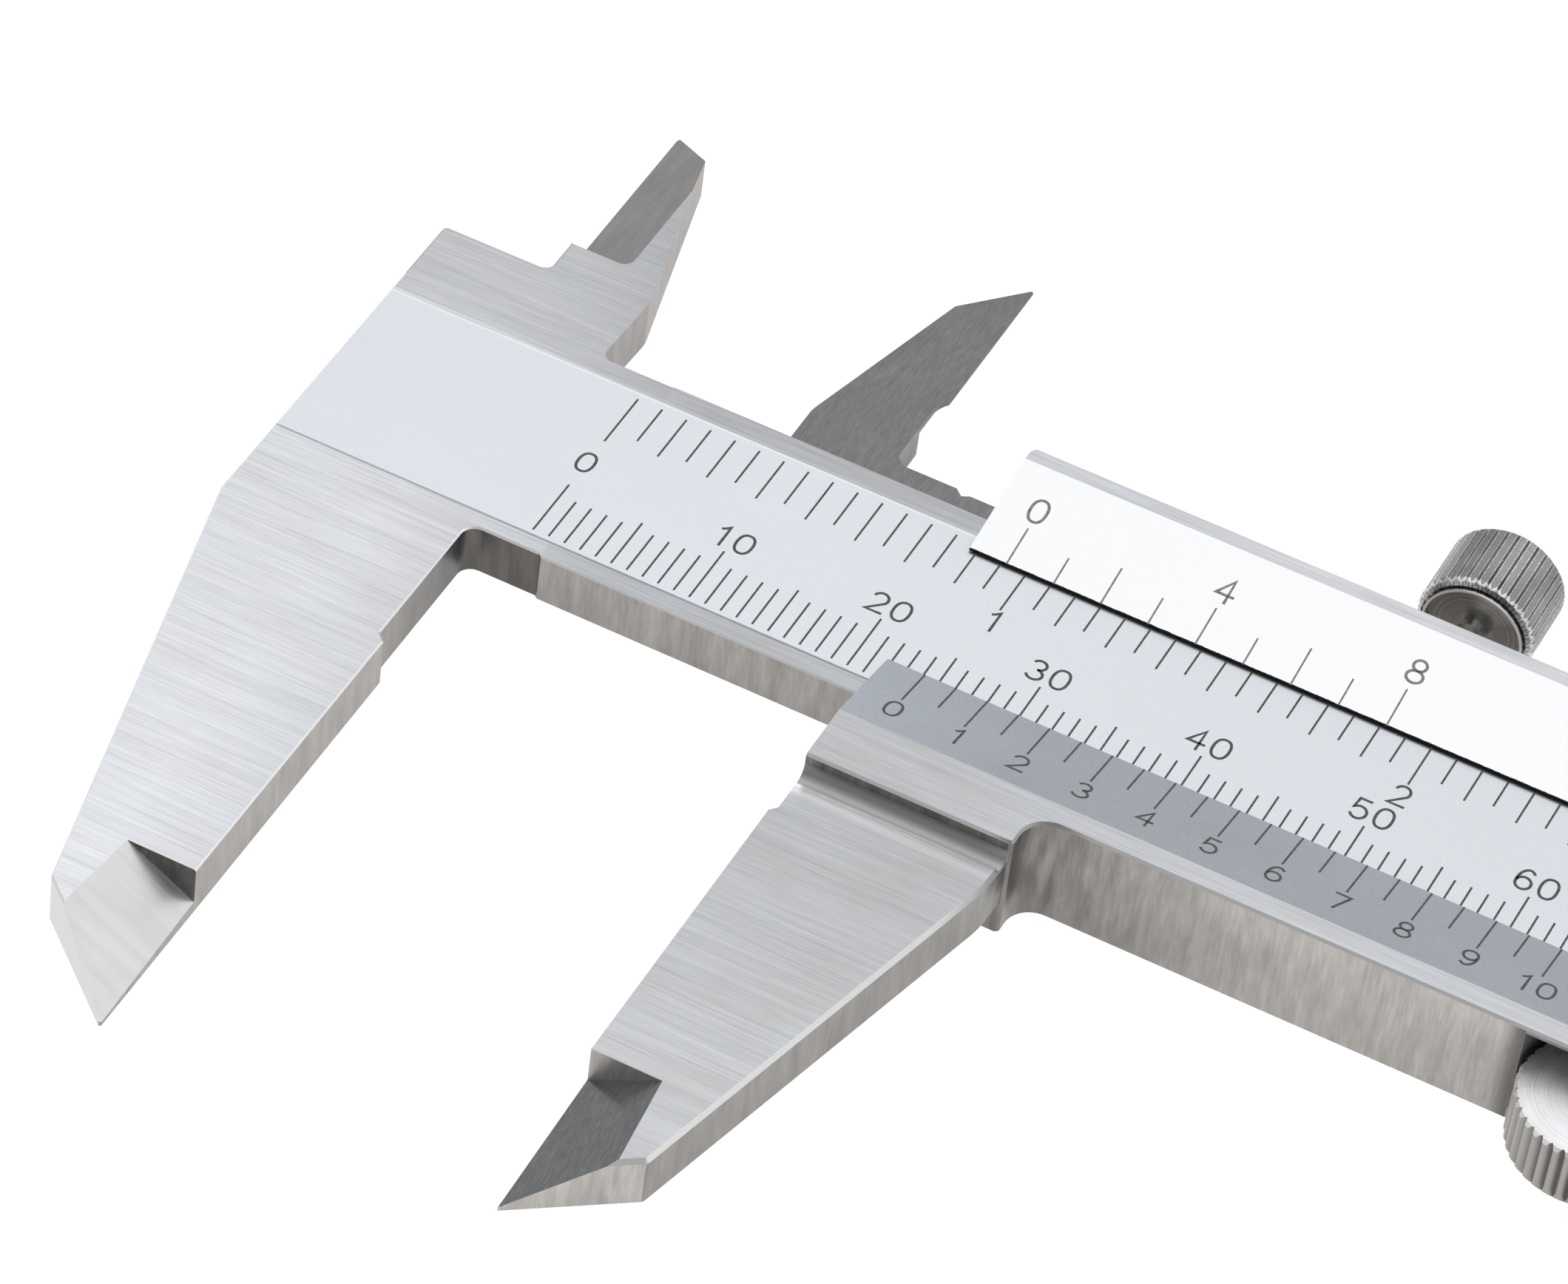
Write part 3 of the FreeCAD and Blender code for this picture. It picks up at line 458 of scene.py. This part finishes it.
def roller_nickel():
    """Thumb roller: bright turned face, partly painted light, with a bright rim; duller knurled
    side with painted shade in its grooves.
    """
    look = Turned("roller_nickel", ROLLER_CENTRE, (1, 1, 0), ring=0.11)
    side = look.turned((0.36, 0.34, 0.325), 0.38, contrast=0.04)
    # painted shade: the knurl darkens to 0.80 times in its grooves and lightens to 1.08 times on
    # its ridges
    side = look.shade(side, look.remap(look.tooth(ROLLER_TEETH), 0.10, 0.40, 1.08, 0.80,
                                       smooth=True))
    # painted light in part: the face's pale colour is raised against the shade of the pocket over
    # it
    face = look.turned((0.92, 0.925, 0.93), 0.50, contrast=0.09)
    zone = look.blend(look.over(look.nz, 0.9), face, side)
    rim = look.every(look.over(look.z, ROLLER_FACE_Z - 0.26),
                     look.over(look.radius, ROLLER_R - 0.5),
                     look.under(look.nz, 0.9), look.over(look.nz, 0.1))
    zone = look.blend(rim, look.satin((0.95, 0.95, 0.94), 0.45), zone)
    return look.done(zone)


def knob_nickel():
    """Lock-screw knob: ridges with painted highlights on their ragged edges and ends, dark turned
    cup with a painted highlight sweep and a bright rim.
    """
    look = Turned("knob_nickel", LOCK_CENTRE, (1, 0, 1))
    tooth = look.tooth(KNOB_TEETH)
    grit = look.noise(Vector((0.10, 0.16, 0.10)), 3.0, 0.7)
    wander = look.noise(Vector((1.5, 6.0, 1.5)), 1.0)
    ridge = look.shade(look.turned((0.28, 0.28, 0.278), 0.36, contrast=0.05),
                       look.remap(grit, 0.3, 0.7, 0.80, 1.20),
                       look.remap(wander, 0.35, 0.65, 0.82, 1.18))
    ragged = look.math("ADD", tooth, look.remap(grit, 0.3, 0.7, -0.03, 0.03))
    painted_burr_line = look.every(look.over(ragged, 0.31), look.under(ragged, 0.37))
    top = look.remap(tooth, 0.0, 0.4, KNOB_Y + 0.44, KNOB_Y + 0.85)
    ends = look.every(look.under(look.y, top), look.over(look.y, look.math("SUBTRACT", top, 0.22)))
    # painted highlights: the ridges' ragged edges and their ends 2.4 times lighter; painted light:
    # the grooves' middles 1.9 times lighter
    ridge = look.shade(ridge, look.mix(look.math("MAXIMUM", painted_burr_line, ends), 1.0, 2.4),
                       look.mix(look.over(tooth, 0.40), 1.0, 1.9))
    # painted highlight: a light sweep across the cup in one direction, darker away from it
    sweep = look.node("SeparateXYZ", {0: look.vector("NORMALIZE", look.arm)}).outputs
    sweep = look.math("ABSOLUTE", look.math("ADD", look.math("MULTIPLY", sweep[0], 0.35),
                                            look.math("MULTIPLY", sweep[2], 0.94)))
    cup = look.shade(look.turned((0.285, 0.275, 0.26), 0.30, contrast=0.16),
                     look.remap(sweep, 0.75, 1.0, 0.8, 1.5, smooth=True))
    zone = look.blend(look.under(look.radius, CUP_R), cup, ridge)
    rim = look.every(look.over(look.radius, CUP_R), look.under(look.radius, CUP_R + 0.17),
                     look.under(look.y, KNOB_Y + 0.1))
    zone = look.blend(rim, look.satin((0.85, 0.85, 0.84), 0.35), zone)
    return look.done(zone)


def engraving_fill(name, thick, thin):
    """Dark warm-gray filling of the engraved lines, thinner in places."""
    look = Look(name)
    worn = look.noise(Vector((0.5, 0.25, 0.5)), 3.0)
    color = look.mix_color(look.remap(worn, 0.35, 0.7), thick, thin)
    height = look.math("MULTIPLY", look.noise(Vector((0.06, 0.06, 0.06)), 2.0), 0.004)
    return look.done((color, 0.6, height, Vector(ALONG_X)), metallic=0.0)


def dress(nodes, material):
    """Puts the material on every slot of the named CAD nodes."""
    for name in nodes:
        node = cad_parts[name]
        if not node.material_slots:
            node.data.materials.append(None)
        for slot in node.material_slots:
            slot.material = material


def screw_centre(name):
    """Middle of a node's box as a scale-frame place."""
    low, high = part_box(name)
    return ((low + high) / 2 - ORIGIN) / MM


def dress_all():
    round_z, round_y = (1, 1, 0), (1, 0, 1)
    dress(["main_beam"], beam_steel())
    dress(["slider_body"], slider_steel())
    dress(["depth_bar", "end_stop_plate"],
          plain_steel("bar_steel", (0.74, 0.74, 0.73), ALONG_X, ALONG_Y))
    dress(["roller_bracket"], plain_steel("bracket_steel", (0.66, 0.65, 0.64), ALONG_X, ALONG_Y))
    dress(["gib_strip"], plain_steel("gib_brass", (0.78, 0.60, 0.30), ALONG_X, ALONG_Z))
    dress(["roller_spring"],
          plain_steel("spring_steel", (0.22, 0.24, 0.30), ALONG_X, ALONG_Y, 0.25))
    dress(["thumb_roller"], roller_nickel())
    dress(["roller_axle"],
          turned_metal("axle_steel", (0.60, 0.59, 0.58), ROLLER_CENTRE, round_z))
    dress(["roller_washer"],
          turned_metal("washer_brass", (0.76, 0.60, 0.32), ROLLER_CENTRE, round_z))
    dress(["lock_screw_knob"], knob_nickel())
    dress(["lock_screw_stud"],
          turned_metal("stud_steel", (0.95, 0.95, 0.94), LOCK_CENTRE, round_y))
    for name in sorted(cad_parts):
        if "screw_" in name and not name.startswith("lock"):
            across = round_y if name.startswith("gib") else round_z
            steel = turned_metal(name + "_steel", (0.52, 0.51, 0.50), screw_centre(name), across)
            dress([name], steel)


# ---------------------------------------------------------------- engraving
def arc(x, y, rx, ry, start, stop, steps=16):
    """Points of an elliptical arc from start to stop, in degrees."""
    angles = [math.radians(start + (stop - start) * i / steps) for i in range(steps + 1)]
    return [(x + rx * math.cos(a), y + ry * math.sin(a)) for a in angles]


def oval(x, y, rx, ry, power=2.0, steps=28):
    """Points round a superellipse."""
    points = []
    for i in range(steps):
        a = 2 * math.pi * i / steps
        c, s = math.cos(a), math.sin(a)
        points.append((x + rx * math.copysign(abs(c) ** (2 / power), c),
                       y + ry * math.copysign(abs(s) ** (2 / power), s)))
    return points


# Centre lines of the figures in a cell CELL wide and 1 high: (points, closed) strokes.
FIGURES = {
    "0": [(oval(0.33, 0.50, 0.28, 0.45, 2.35), True)],
    "1": [([(0.19, 0.77), (0.31, 0.84), (0.44, 0.97), (0.44, 0.0)], False)],
    "2": [(arc(0.33, 0.685, 0.255, 0.265, 168, -38) + [(0.05, 0.05), (0.64, 0.05)], False)],
    "3": [(arc(0.32, 0.735, 0.235, 0.215, 160, -90)
           + arc(0.32, 0.285, 0.275, 0.235, 90, -160), False)],
    "4": [([(0.66, 0.34), (0.04, 0.34), (0.45, 0.95), (0.45, 0.0)], False)],
    "5": [([(0.58, 0.95), (0.16, 0.95), (0.11, 0.51)]
           + arc(0.33, 0.335, 0.27, 0.285, 128, -155), False)],
    "6": [(oval(0.34, 0.32, 0.26, 0.27), True), (arc(0.37, 0.42, 0.29, 0.53, 50, 185), False)],
    "7": [([(0.04, 0.95), (0.61, 0.95), (0.25, 0.0)], False)],
    "8": [(oval(0.33, 0.735, 0.22, 0.215), True), (oval(0.33, 0.285, 0.275, 0.235), True)],
    "9": [(oval(0.32, 0.68, 0.26, 0.27), True), (arc(0.29, 0.58, 0.29, 0.53, 230, 365), False)],
}


class Face:
    """A flat face that takes engraving: u runs along X, v up the face from its edge."""

    def __init__(self, edge, up):
        self.edge = edge
        self.up = up.normalized()
        self.out = Vector((1, 0, 0)).cross(self.up)
        self.verts, self.faces = [], []

    def point(self, u, v, over):
        place = self.edge + self.up * v + self.out * over
        return at(u + place.x, place.y, place.z)

    def stroke(self, points, width, closed=False):
        """Adds a thin closed bar of constant width along the points."""
        count, flat = len(points), [Vector(p) for p in points]
        start = len(self.verts)
        for i, here in enumerate(flat):
            before = flat[i - 1] if closed or i else here
            after = flat[(i + 1) % count] if closed or i < count - 1 else here
            into = (here - before).normalized() if before != here else (after - here).normalized()
            away = (after - here).normalized() if after != here else into
            middle = (into + away).normalized()
            reach = width / 2 / max(middle.dot(into), 0.45)
            side = Vector((-middle.y, middle.x)) * reach
            for corner, over in ((here + side, PROUD), (here - side, PROUD),
                                 (here - side, -SUNK), (here + side, -SUNK)):
                self.verts.append(self.point(corner.x, corner.y, over))
        for i in range(count if closed else count - 1):
            a, b = start + 4 * i, start + 4 * ((i + 1) % count)
            for j in range(4):
                k = (j + 1) % 4
                self.faces.append((a + j, b + j, b + k, a + k))
        if not closed:
            last = start + 4 * (count - 1)
            self.faces.append((start, start + 1, start + 2, start + 3))
            self.faces.append((last + 3, last + 2, last + 1, last))

    def line(self, u, v0, v1, width):
        self.stroke([(u, v0), (u, v1)], width)

    def number(self, text, middle, foot, height):
        """Figures centred on u = middle, standing on v = foot."""
        left = middle - height * (CELL + ADVANCE * (len(text) - 1)) / 2
        for i, figure in enumerate(text):
            for points, closed in FIGURES[figure]:
                shifted = [(left + height * (x + ADVANCE * i), foot + height * y)
                           for x, y in points]
                self.stroke(shifted, STROKE * height, closed)

    def piece(self, name, body, material):
        """The collected strokes as one piece that rides on a body."""
        mesh = bpy.data.meshes.new(name)
        mesh.from_pydata(self.verts, [], self.faces)
        mesh.materials.append(material)
        made = bpy.data.objects.new(name, mesh)
        bpy.context.scene.collection.objects.link(made)
        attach(made, body)
        self.verts, self.faces = [], []


def engrave_beam(fill):
    """Millimetre lines below and sixteenths of an inch above, each with its figures."""
    face = Face(Vector((0, 0, 0)), Vector((0, 1, 0)))
    for mm in range(LAST_MM + 1):
        top = 4.36 if mm % 10 == 0 else 3.85 if mm % 5 == 0 else 3.31
        face.line(mm, 0.0, top, BEAM_LINE)
    face.piece("millimetre_lines", "beam", fill)
    face.number("0", -0.05, 5.65, BEAM_FIGURE)
    for mm in range(10, LAST_MM + 1, 10):
        face.number(str(mm), mm, 4.60, BEAM_FIGURE)
    face.piece("millimetre_figures", "beam", fill)
    for i in range(16 * LAST_INCH + 1):
        foot = 8.65 if i % 16 == 0 else 9.20 if i % 2 == 0 else 9.70
        face.line(i * INCH / 16, foot, 12.84, BEAM_LINE)
    face.piece("inch_lines", "beam", fill)
    for inch in range(1, LAST_INCH + 1):
        face.number(str(inch), inch * INCH, 6.75, BEAM_FIGURE)
    face.piece("inch_figures", "beam", fill)


def engrave_slider(fill, pale_fill):
    """Metric vernier (0.05 mm) on the low bevel, inch vernier (1/128 in) on the high one."""
    low = Face(LOW_EDGE, LOW_EDGE - LOW_FOOT)
    for i in range(21):
        low.line(READING + METRIC_STEP * i, -3.26 if i % 2 == 0 else -2.55, 0.0, 0.12)
    low.piece("vernier_millimetre_lines", "slider", fill)
    for i in range(11):
        low.number(str(i), READING + 2 * METRIC_STEP * i, -5.23, 1.65)
    low.piece("vernier_millimetre_figures", "slider", fill)
    high = Face(HIGH_EDGE, HIGH_FOOT - HIGH_EDGE)
    for i in range(9):
        high.line(READING + INCH_STEP * i, 0.0, 2.78 if i % 2 == 0 else 2.0, 0.11)
    high.piece("vernier_inch_lines", "slider", pale_fill)
    for i in (0, 4, 8):
        high.number(str(i), READING + INCH_STEP * i, 3.21, 1.80)
    high.piece("vernier_inch_figures", "slider", pale_fill)


# ---------------------------------------------------------------- the scene
bpy.context.scene.view_settings.view_transform = "Standard"
make_camera()
make_world()
make_floor()
dress_all()
dark_fill = engraving_fill("engraving_fill", (0.055, 0.05, 0.045, 1), (0.11, 0.105, 0.095, 1))
engrave_beam(dark_fill)
engrave_slider(dark_fill,
               engraving_fill("pale_fill", (0.18, 0.175, 0.17, 1), (0.33, 0.32, 0.31, 1)))
